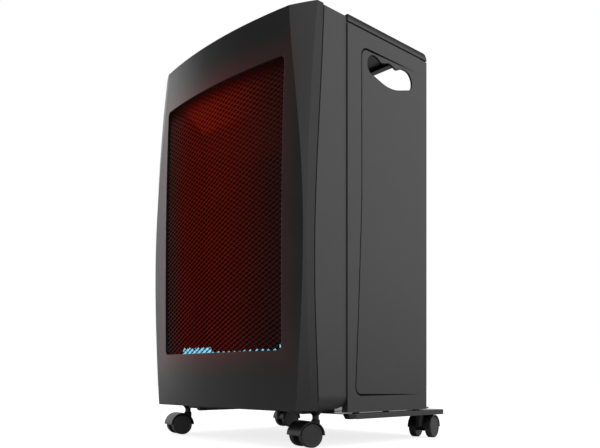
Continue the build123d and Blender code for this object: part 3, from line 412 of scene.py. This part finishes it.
def pressedShadeLine(f):
    low, high = (np.array(corner)[1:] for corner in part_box("right_side_panel"))
    half = (high - low) / 2 - (pressing["front"], pressing["foot"])
    within = 1 - f.beyond(f.y, f.z, (high + low) / 2, half).ramp(0.0, pressing["blur"])
    start, end, lost = pressing["fade"]
    under, over = (low[1] + rise for rise in pressing["fadeRise"])
    kept = 1 - f.y.ramp(start, end) * f.z.ramp(under, over) * lost
    slope = 1 - f.facing("X").calc("ABSOLUTE").ramp(*pressing["slope"])
    line = slope.calc("MAXIMUM", f.edges(pressing["width"], *pressing["bend"]))
    return line * within * kept * pressing["depth"]


# The top cover's sides: a line of painted shade along the lower edge over the groove, and painted
# shade above their middle
cover = {
    "edge": (0.0008, 0.0018, 0.90),     # up from the foot, where it ends, and how dark the painted shade is
    "topShade": (-0.010, -0.002, 0.60),     # down from the top, where the painted shade starts and is full, and how much
    "level": (0.5, 0.9),        # how far up or down a surface faces, with both and without
}


def coverShadeLine(f):
    low, high = (float(corner[2]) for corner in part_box("top_cover"))
    start, end, depth = cover["edge"]
    edge = (1 - f.z.ramp(low + start, low + end)) * depth
    start, end, depth = cover["topShade"]
    topShade = f.z.ramp(high + start, high + end) * depth
    side = 1 - f.facing("Z").calc("ABSOLUTE").ramp(*cover["level"])
    return edge.calc("MAXIMUM", topShade) * side


# Plates of the fire chamber, with the fire's red light painted on them as a glow by height and by
# X, and a painted shadow's slanting edge on the back
fire = {
    "plate": (0.005, 0.003, 0.003),
    "shine": 0.1,
    "rough": (0.65, 0.2),       # middle roughness, and how much the burnt scale changes it
    "scale": (34.0, 5.0, 0.65), # noise: scale, detail and roughness of the burnt scale
    "scaleEdge": (0.35, 0.7),   # the noise where pale scale starts, is full
    "shades": (0.7, 1.6),       # darkest and palest scale, as shares of the plate's colour
    "grain": (380.0, 3.0),
    "bump": (0.25, 0.0003),
    # Flakes: the noise where they start, where they are full, and how far their painted light
    # covers
    "flakes": (0.35, 0.8, 0.35),
    "flakeGlow": (0.01, 0.001, 0.001),
    "ceiling": (0.022, 0.0011, 0.0005),
    "ceilingFade": (-0.20, 0.19, 0.55),     # X where it starts to fade, ends, what is left
    "sideHigh": (0.003, 0.0003, 0.0002),
    "sideLow": (0.001, 0.0002, 0.0001),
    "backBand": (0.017, 0.0009, 0.0004),    # painted light above the slanting edge of the painted shadow
    "backHigh": (0.007, 0.0004, 0.0002),
    "backLow": (0.0035, 0.0003, 0.0002),
    "bandLeft": (-0.176, 0.589),            # X and Z where the painted shadow's slanting edge starts
    "bandRight": (-0.030, 0.538),           # and where it runs level
    "bandBlur": (-0.006, 0.008),            # from that edge, where the band starts, is full
    "backDim": (0.55, 0.6, 0.6),            # what is left of the painted light at the right
    "backFade": (0.02, 0.17),               # X where that dimming starts, ends
    "foot": 0.16,                           # height where the walls' painted light starts to rise,
    "sideTop": 0.649,                       # where it is sideHigh,
    "backTop": 0.56,                        # and where it is backHigh
    "inner": (0.004, 0.001, 0.001),         # painted light on the other plates, at their foot
    "innerRise": (0.1, 0.2),                # heights between which they go to sideLow
}


def scaledSteel(name):
    middle, change = fire["rough"]
    f = Finish(name, fire["plate"], middle, 0.0, fire["shine"])
    scale = f.noise(*fire["scale"])
    dark, pale = (paler(fire["plate"], share) for share in fire["shades"])
    f.feed("Base Color", f.mix(scale.ramp(*fire["scaleEdge"]), dark, pale))
    f.feed("Roughness", scale * change + (middle - change / 2))
    f.relief(f.noise(*fire["grain"]), *fire["bump"])
    return f, scale


# Paints the fire's red light on a plate as a glow, with the flakes' own share mixed in
def paintRedLight(f, scale, colour):
    start, full, share = fire["flakes"]
    f.glow(f.mix(scale.ramp(start, full) * share, colour, fire["flakeGlow"]), 1.0)
    return f


def ceilingRedLight():
    f, scale = scaledSteel("ceilingSteel")
    start, end, left = fire["ceilingFade"]
    dimmed = paler(fire["ceiling"], left)
    return paintRedLight(f, scale, f.mix(f.x.ramp(start, end), fire["ceiling"], dimmed))


def sideRedLight():
    f, scale = scaledSteel("sideSteel")
    rise = f.z.ramp(fire["foot"], fire["sideTop"])
    return paintRedLight(f, scale, f.mix(rise, fire["sideLow"], fire["sideHigh"]))


def backRedLight():
    f, scale = scaledSteel("backSteel")
    (x0, z0), (x1, z1) = fire["bandLeft"], fire["bandRight"]
    slope = (z1 - z0) / (x1 - x0)
    edge = (f.x.calc("MINIMUM", x1) - x0) * slope + z0
    band = (f.z - edge).ramp(*fire["bandBlur"])
    low = f.mix(f.z.ramp(fire["foot"], fire["backTop"]), fire["backLow"], fire["backHigh"])
    dim = f.mix(f.x.ramp(*fire["backFade"]), (1, 1, 1), fire["backDim"])
    colour = f.node("ShaderNodeVectorMath", {"operation": "MULTIPLY"},
                    {0: f.mix(band, low, fire["backBand"]), 1: dim})
    return paintRedLight(f, scale, colour)


def plainSteel():
    f, scale = scaledSteel("innerSteel")
    rise = f.z.ramp(*fire["innerRise"])
    return paintRedLight(f, scale, f.mix(rise, fire["inner"], fire["sideLow"]))


# The cabinet's paint; a piece may have its own line of painted shade
def sheetPaint(name, soften=0.0, line=None):
    return coated(satin, name, paint["cabinet"], paint["cabinetRoughness"], soften, line)


# A finish for each of the record's material slots
finishes = {
    "fascia": fasciaPaint(),
    "cabinet_paint": sheetPaint("cabinetPaint", paint["fold"]),
    "grille_paint": coated(satin, "grillePaint", (0.006, 0.005, 0.005), 0.6),
    "black_steel": coated(satin, "blackSteel", (0.012, 0.011, 0.011), 0.4),
    "chamber_steel": plainSteel(),
    "burner_steel": bareMetal("burnerSteel", (0.40, 0.38, 0.36), 0.42, (1, 9, 9),
                              (0.20, 0.15, 0.12)),
    "brass": bareMetal("turnedBrass", (0.72, 0.52, 0.22), 0.32, (1, 1, 5),
                       (0.30, 0.18, 0.07)),
    "copper_pipe": bareMetal("drawnCopper", (0.75, 0.36, 0.22), 0.30, (1, 1, 1),
                             (0.22, 0.09, 0.05)),
    "zinc_steel": bareMetal("zincPlate", (0.55, 0.56, 0.58), 0.35, (1, 1, 6),
                            (0.34, 0.33, 0.30)),
    "ceramic": coated(moulded, "whiteCeramic", (0.80, 0.78, 0.72), 0.25),
    "lead_cover": coated(moulded, "leadCover", (0.03, 0.03, 0.03), 0.55),
    "black_plastic": coated(moulded, "blackPlastic", (0.010, 0.0085, 0.0085), 0.40,
                            specular=0.35),
    "wheel_plastic": coated(moulded, "wheelPlastic", (0.034, 0.033, 0.033), 0.38),
}

# Pieces with a finish of their own
sidePaint = sheetPaint("sidePaint", line=pressedShadeLine)
sideSteel = sideRedLight()
ownFinish = {
    "top_cover": sheetPaint("coverPaint", paint["fold"], coverShadeLine),
    "front_housing": sheetPaint("housingPaint", paint["fold"], seamShadeLine),
    "right_side_panel": sidePaint,
    "left_side_panel": sidePaint,
    "chamber_ceiling": ceilingRedLight(),
    "chamber_back": backRedLight(),
    "chamber_left_wall": sideSteel,
    "chamber_right_wall": sideSteel,
}
slotOf = {part["node"]: part["material_slot"] for part in record["subparts"]}
for name, obj in frame["nodes"].items():
    dress(obj, ownFinish.get(name) or finishes[slotOf[name]])
print("finishes on", len(frame["nodes"]), "nodes")


# A mesh object from a stack of tubes: grids[k, u, v] is a point, closed round v. Where
# kept[k, u] is false the tube is left out, and each end of what is left is capped.
def tubePiece(name, grids, kept, finish):
    count, rows, cols = grids.shape[:3]
    index = np.arange(count * rows * cols).reshape(count, rows, cols)
    wrapped = np.concatenate([index, index[:, :, :1]], axis=2)
    quads = np.stack([wrapped[:, :-1, :-1], wrapped[:, :-1, 1:],
                      wrapped[:, 1:, 1:], wrapped[:, 1:, :-1]], -1)
    whole = kept[:, :-1] & kept[:, 1:]
    edge = np.zeros((count, 1), bool)
    first = whole & ~np.concatenate([edge, whole[:, :-1]], axis=1)
    last = whole & ~np.concatenate([whole[:, 1:], edge], axis=1)
    walls = quads[whole].reshape(-1, 4)
    caps = np.concatenate([index[:, :-1][first][:, ::-1], index[:, 1:][last]])
    used = np.unique(walls)
    mesh = bpy.data.meshes.new(name)
    mesh.from_pydata(grids.reshape(-1, 3)[used].tolist(), [],
                     np.searchsorted(used, walls).tolist() + np.searchsorted(used, caps).tolist())
    mesh.update()
    obj = bpy.data.objects.new(name, mesh)
    bpy.context.collection.objects.link(obj)
    dress(obj, finish)
    return obj


# The net over the opening. The fire's red light on its black paint is painted on as a glow:
# strongest left of the middle, fading to the greyer sides, with painted shade under the top edge.
netting = {
    "pitchX": 0.0166,           # one diamond and its strand, across
    "pitchZ": 0.0086,
    "rings": 8,                 # rings of a strand in one pitch
    "strandWidth": 0.0026,
    "strandDepth": 0.00035,
    "knot": 0.40,               # how much wider a strand is at a crossing, thinner between
    "lean": 62.0,               # degrees that a strand leans out of the sheet
    "paint": (0.008, 0.004, 0.004),
    "shine": 0.03,
    "cloud": (9.0, 2.0),        # noise: scale and detail of the clouds, and of the patches
    "patch": (60.0, 4.0),       # that roughen it
    "rough": (0.45, 0.2),       # least roughness, and how much the patches add
    "shades": (0.7, 1.4),       # darkest and palest cloud, as shares of the paint
    "bump": (0.10, 0.0001),
    "lit": (0.092, 0.0046, 0.0016),
    "litLeft": (0.032, 0.015, 0.014),
    "litRight": (0.020, 0.007, 0.006),
    "litMost": 2.0,             # the most that the level can raise these three
    "clouds": (0.50, 0.75),     # what the clouds add to the level, and its least
    "sides": (-0.185, -0.090, 0.020, 0.175),    # X where the red starts, is full, fades, ends
    "shade": (0.035, 0.85),     # how far down the top edge shades it, and how much
    "hot": (-0.045, 0.573),     # X and Z of the hot place, a painted pool of light
    "hotReach": 0.19,           # how far off its light ends
    "hotExtra": 0.62,           # how much it adds
    "hotSlope": -0.92,          # its foot runs level to the right, at this slope to the left
    "hotBlur": 0.005,           # half the width that its foot is blurred over
    "cool": 0.86,               # share of the level that the rest keeps
}


def netPaint():
    f = Finish("netPaint", netting["paint"], 0.6, 0.0, netting["shine"])
    start, full, fade, end = netting["sides"]
    hotX, hotZ = netting["hot"]
    cloud = f.noise(*netting["cloud"])
    lip = float(grilleHigh[2]) - paint["meshLap"]
    depth, shaded = netting["shade"]
    added, least = netting["clouds"]
    level = (1 - f.z.ramp(lip - depth, lip) * shaded) * (cloud * added + least)
    away = (f.x - hotX).calc("POWER", 2.0) + (f.z - hotZ).calc("POWER", 2.0)
    near = 1 - away.calc("SQRT").ramp(0.0, netting["hotReach"])
    rise = ((f.x - hotX) * netting["hotSlope"]).calc("MAXIMUM", 0.0)
    over = (f.z - hotZ - rise).ramp(-netting["hotBlur"], netting["hotBlur"])
    level = level * (over * near * netting["hotExtra"] + netting["cool"])
    glow = f.mix(f.x.ramp(fade, end), netting["lit"], netting["litRight"])
    glow = f.mix(f.x.ramp(start, full), netting["litLeft"], glow)
    dark, pale = (paler(netting["paint"], share) for share in netting["shades"])
    f.feed("Base Color", f.mix(cloud, dark, pale))
    smoothest, more = netting["rough"]
    f.feed("Roughness", f.noise(*netting["patch"]) * more + smoothest)
    f.glow(f.mix(level * (1 / netting["litMost"]), (0, 0, 0), glow), netting["litMost"])
    f.relief(f.noise(*satin["grain"]), *netting["bump"])
    return f


# The CAD grille's bow, fitted to its own points: y from powers of x * x and z
def fitBow():
    points = pointsOf("grille")

    def terms(x, z):
        return np.stack([x ** 0, x ** 2, z, z ** 2, z ** 3, x ** 2 * z, x ** 2 * z ** 2], -1)

    weights = np.linalg.lstsq(terms(points[:, 0], points[:, 2]), points[:, 1], rcond=None)[0]
    return lambda x, z: terms(x, z) @ weights


# Strands of one slope: z = start + k * pitch + slope * x for whole k. Each is a flat bar
# on the bow, turned about its own line and wider at the crossings, which lie half a pitch
# apart: width * (1 + knot * cos(4 pi x / pitch)). Rings outside the border are dropped.
def strands(side, bow):
    low, high = grilleLow[[0, 2]], grilleHigh[[0, 2]]
    pitch = netting["pitchZ"]
    slope = side * pitch / netting["pitchX"]
    reach = abs(slope) * (high[0] - low[0]) / 2
    level = np.arange(low[1] - reach + pitch / 2, high[1] + reach, pitch)[:, None]
    x = np.arange(low[0], high[0], netting["pitchX"] / netting["rings"])[None, :]
    z = level + slope * x
    x = x + 0 * z
    inside = (z > low[1]) & (z < high[1])
    along = np.array([1.0, 0.0, slope]) / math.hypot(1.0, slope)
    rise = np.array([-along[2], 0.0, along[0]])
    out = np.array([0.0, -1.0, 0.0])
    turn = math.radians(netting["lean"])
    wide = rise * math.cos(turn) + out * math.sin(turn)
    deep = out * math.cos(turn) - rise * math.sin(turn)
    knots = netting["knot"] * np.cos(4 * np.pi * x / netting["pitchX"])
    half = netting["strandWidth"] / 2 * (1 + knots)
    spine = np.stack([x, bow(x, z), z], -1)[:, :, None, :]
    w, d = half[:, :, None, None] * wide, netting["strandDepth"] / 2 * deep
    ring = np.concatenate([w + d, w - d, -w - d, -w + d], axis=2)
    return spine + ring, inside


def makeNet():
    bow = fitBow()
    grids, kept = (np.concatenate(pair) for pair in zip(strands(1, bow), strands(-1, bow)))
    net = tubePiece("grilleNet", grids, kept, netPaint())
    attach(net, "cabinet")
    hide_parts("grille")
    print("grille net:", len(net.data.polygons), "faces")


makeNet()

# Blue flames: a row over the burner's ports, taller at its left, and the pilot's beside it
flame = {
    "pitch": 0.0165,
    "margins": (0.010, 0.008),  # from the burner's left and right ends to the row's
    "height": 0.0190,
    "tallHeight": 0.028,
    "tallUntil": -0.076,        # the flames left of this X stand taller
    "endWidth": 0.35,           # the last flame at the right is tall and thin
    "pilotPitch": 0.0095,
    "pilotLeft": -0.166,
    "lift": 0.0003,             # from the burner's top to the flames' foot
    "radius": (0.0075, 0.0050), # along and across the burner
    "least": 0.92,              # share of its height that a flame has, at least
    "sway": 0.1,                # share of its height that a tip leans to a side, at most
    "swell": (0.7, 0.9),        # share of the radius at the port, and what it gains above
    "tip": 1.002,               # over 1, so that the tip keeps a small width
    "steps": 12,                # rings up a flame, and points round it
    "seed": 4,
    "foot": (0.08, 0.45, 1.0),
    "body": (0.20, 0.78, 1.0),
    "noise": (160.0, 2.0),      # scale and detail of the flicker
    "noiseEdge": (0.2, 0.6),    # the noise where it starts, is full
    "flicker": (0.6, 0.4),      # least share of the body's colour, and what flickers
    "solid": (0.45, 0.45),      # how solid the foot is, and how much more the body
    "gain": 1.0,
}


def flameFinish(foot):
    f = Finish("blueFlame", (0.0, 0.0, 0.0), 1.0)
    up = f.z.ramp(foot, foot + flame["height"] / 2)
    least, more = flame["flicker"]
    flicker = f.noise(*flame["noise"]).ramp(*flame["noiseEdge"]) * more + least
    f.glow(f.mix(up * flicker, flame["foot"], flame["body"]), flame["gain"])
    least, more = flame["solid"]
    f.feed("Alpha", up * more + least)
    return f


# Each flame is a drop turned about its own axis. With t the share of the height, its
# radius is the root of tip - t * t, times port + gain * t * (1 - t) for the swell's two
# numbers. Its axis leans aside by t * t.
def makeFlames():
    rng = np.random.default_rng(flame["seed"])
    foot = float(burnerHigh[2]) + flame["lift"]
    middle = (burnerLow[1] + burnerHigh[1]) / 2
    left, right = flame["margins"]
    xs = np.arange(burnerLow[0] + left, burnerHigh[0] - right, flame["pitch"])
    pilots = np.arange(flame["pilotLeft"], flame["tallUntil"], flame["pilotPitch"])
    x = np.concatenate([pilots, xs])[:, None, None]
    tall = np.where(x < flame["tallUntil"], flame["tallHeight"], flame["height"])
    thick = np.ones_like(x)
    tall[-1], thick[-1] = flame["tallHeight"], flame["endWidth"]
    height = tall * rng.uniform(flame["least"], 1.0, x.shape)
    lean = rng.uniform(-flame["sway"], flame["sway"], x.shape)
    t = np.linspace(0, 1, flame["steps"])[None, :, None]
    a = np.linspace(0, 2 * np.pi, flame["steps"], endpoint=False)[None, None, :]
    port, gain = flame["swell"]
    swell = np.sqrt(flame["tip"] - t * t) * (port + gain * t * (1 - t)) * thick
    rx, ry = flame["radius"]
    grids = np.stack(np.broadcast_arrays(
        x + lean * t ** 2 * height + rx * swell * np.cos(a),
        middle + ry * swell * np.sin(a), foot + t * height + 0 * a), -1)
    flames = tubePiece("burnerFlames", grids, np.ones(grids.shape[:2], bool), flameFinish(foot))
    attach(flames, "cabinet")
    print("flames:", len(x))


makeFlames()

# Floor, lights and world
studio = {
    "floor": (0.80, 0.80, 0.80),
    "floorHalf": 7.0,
    "floorLift": 0.80,          # what the camera alone sees on top of the floor's own shade
    "world": 0.38,              # strength of the white light that is not seen or mirrored
    # Degrees from the front between which the white in the gloss dims, and between which it
    # clears again, and its level where it is dim
    "dim": ((-100.0, -58.0, -24.0, 6.0), 0.05),
    "lamps": {                  # place, aim, width and height, watts
        "rightLamp": ((2.3, 1.5, 1.3), (0.1, 0, 0.4), (2.2, 2.2), 7.0),
        "leftLamp": ((-2.3, -0.75, 0.8), (0, -0.1, 0.4), (0.9, 2.0), 7.0),
        "topLamp": ((0.4, 0.2, 2.6), (0, 0, 0.3), (1.6, 1.6), 6.0),
    },
}


def makeFloor():
    half = studio["floorHalf"]
    mesh = bpy.data.meshes.new("paleFloor")
    corners = [(-half, -half, 0), (half, -half, 0), (half, half, 0), (-half, half, 0)]
    mesh.from_pydata(corners, [], [(0, 1, 2, 3)])
    floor = bpy.data.objects.new("paleFloor", mesh)
    bpy.context.collection.objects.link(floor)
    f = Finish("paleFloor", studio["floor"], 0.9, 0.0, 0.0)
    seen = f.node("ShaderNodeLightPath", {}, {}, "Is Camera Ray")
    f.glow(f.mix(seen, (0, 0, 0), (1, 1, 1)), studio["floorLift"])
    dress(floor, f)


def makeLamps():
    for name, (place, aim, (width, height), power) in studio["lamps"].items():
        lamp = bpy.data.lights.new(name, "AREA")
        lamp.shape = "RECTANGLE"
        lamp.size, lamp.size_y = width, height
        lamp.energy = power
        holder = bpy.data.objects.new(name, lamp)
        holder.location = place
        holder.rotation_euler = (Vector(aim) - Vector(place)).to_track_quat("-Z", "Y").to_euler()
        bpy.context.collection.objects.link(holder)


# White to the camera; the same white to gloss, but dim on the front's left side
def makeWorld():
    world = bpy.data.worlds.new("studio")
    bpy.context.scene.world = world
    w = Tree(world)
    path = w.node("ShaderNodeLightPath", {}, {}, None)
    seen = Wire(w.tree, path.outputs["Is Camera Ray"])
    shine = Wire(w.tree, path.outputs["Is Glossy Ray"])
    through = Wire(w.tree, path.outputs["Is Transmission Ray"])
    way = w.node("ShaderNodeTexCoord", {}, {}, "Generated")
    split = w.node("ShaderNodeSeparateXYZ", {}, {0: way}, None)
    across, back = (Wire(w.tree, split.outputs[axis]) for axis in ("X", "Y"))
    around = across.calc("ARCTAN2", back * -1.0) * (180 / math.pi)
    (farLeft, left, right, farRight), dimmest = studio["dim"]
    clear = (1 - around.ramp(farLeft, left)).calc("MAXIMUM", around.ramp(right, farRight))
    gloss = w.mix(clear * (1 - dimmest) + dimmest, (0, 0, 0), (1, 1, 1))
    plain = w.node("ShaderNodeBackground", {}, {0: (1, 1, 1, 1), 1: studio["world"]})
    glossy = w.node("ShaderNodeBackground", {}, {0: gloss, 1: 1.0})
    white = w.node("ShaderNodeBackground", {}, {0: (1, 1, 1, 1), 1: 1.0})
    lit = w.node("ShaderNodeMixShader", {}, {0: shine, 1: plain, 2: glossy})
    last = w.node("ShaderNodeMixShader", {}, {
        0: seen.calc("MAXIMUM", through), 1: lit, 2: white})
    w.node("ShaderNodeOutputWorld", {}, {0: last}, None)


makeFloor()
makeLamps()
makeWorld()
print("studio lit")
